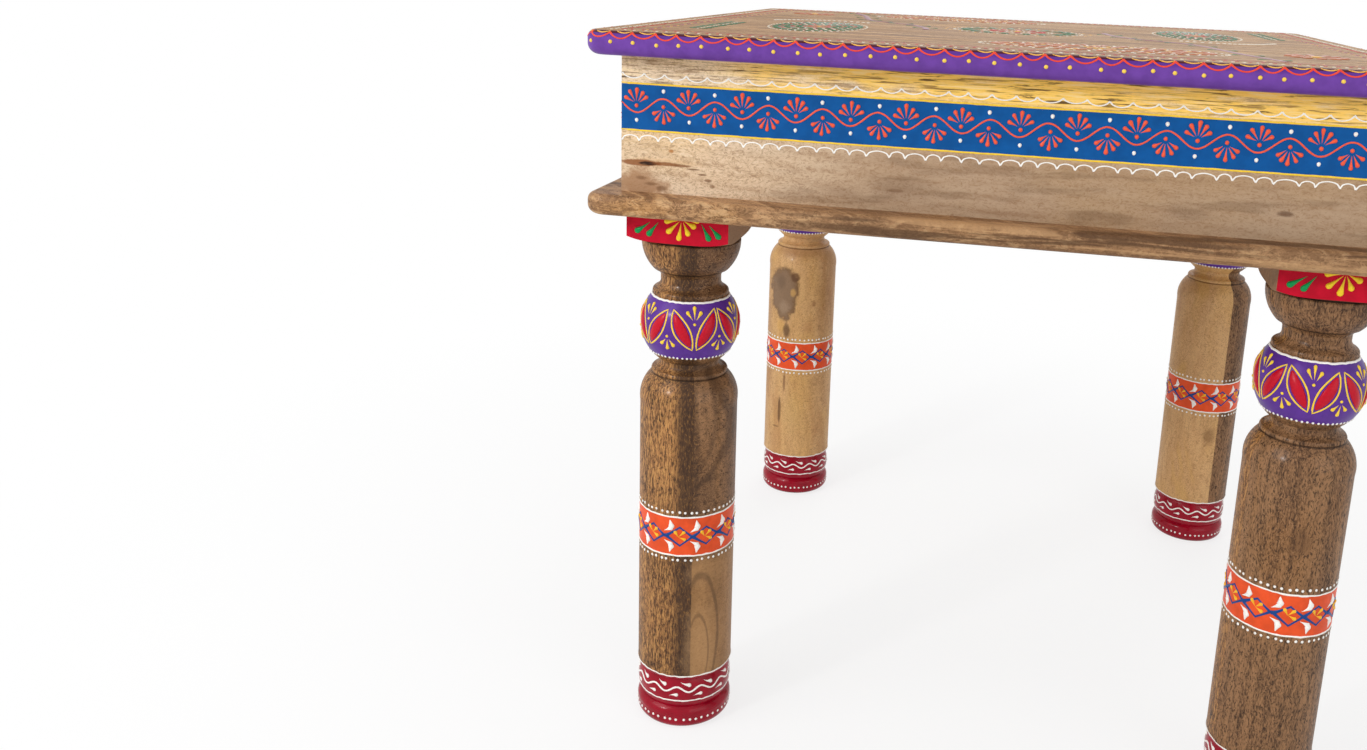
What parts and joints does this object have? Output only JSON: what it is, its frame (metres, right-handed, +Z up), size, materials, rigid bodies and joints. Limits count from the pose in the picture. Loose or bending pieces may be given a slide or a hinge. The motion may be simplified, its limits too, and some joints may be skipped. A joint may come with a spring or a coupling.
{
  "type": "low table",
  "caption": "Low square side table of solid mango wood with a deep apron, moulded frame, turned legs and hand-painted folk borders.",
  "frame": {"origin": "on the floor under the middle of the table", "axes": "+X to the right along the front, +Y to the back, +Z up"},
  "size_m": [0.4724, 0.4724, 0.4505],
  "materials": {
    "top_wood": "bare waxed mango wood, rim brushed with satin purple paint",
    "apron_wood": "bare waxed mango wood with a brushed blue band",
    "rail_wood": "bare waxed mango wood",
    "leg_wood_dark": "turned mango wood, darker half, with painted bands",
    "leg_wood_light": "turned mango wood, lighter half, with painted bands",
    "inner_wood": "sawn mango wood, unfinished",
    "cone_paint": "thick raised paint, satin, in several colours",
    "zinc_steel": "zinc plated",
    "screw_steel": "yellowed zinc plated"
  },
  "bodies": {
    "root": {"top_board_1": "top_wood", "top_board_2": "top_wood", "top_board_3": "top_wood", "top_board_4": "top_wood", "top_board_5": "top_wood", "apron_front": "apron_wood", "apron_back": "apron_wood", "apron_left": "apron_wood", "apron_right": "apron_wood", "rail_front": "rail_wood", "rail_right": "rail_wood", "rail_back": "rail_wood", "rail_left": "rail_wood", "corner_block_front_left": "inner_wood", "corner_block_front_right": "inner_wood", "corner_block_back_right": "inner_wood", "corner_block_back_left": "inner_wood", "top_cleat_left": "inner_wood", "top_cleat_right": "inner_wood", "leg_front_left_half_a": "leg_wood_dark", "leg_front_left_half_b": "leg_wood_light", "leg_front_right_half_a": "leg_wood_dark", "leg_front_right_half_b": "leg_wood_light", "leg_back_right_half_a": "leg_wood_dark", "leg_back_right_half_b": "leg_wood_light", "leg_back_left_half_a": "leg_wood_dark", "leg_back_left_half_b": "leg_wood_light", "hanger_bolts": "zinc_steel", "washers": "zinc_steel", "nuts": "zinc_steel", "top_screws": "screw_steel", "cleat_screws": "screw_steel", "rail_screws": "screw_steel", "block_screws": "screw_steel"}
  },
  "joints": []
}
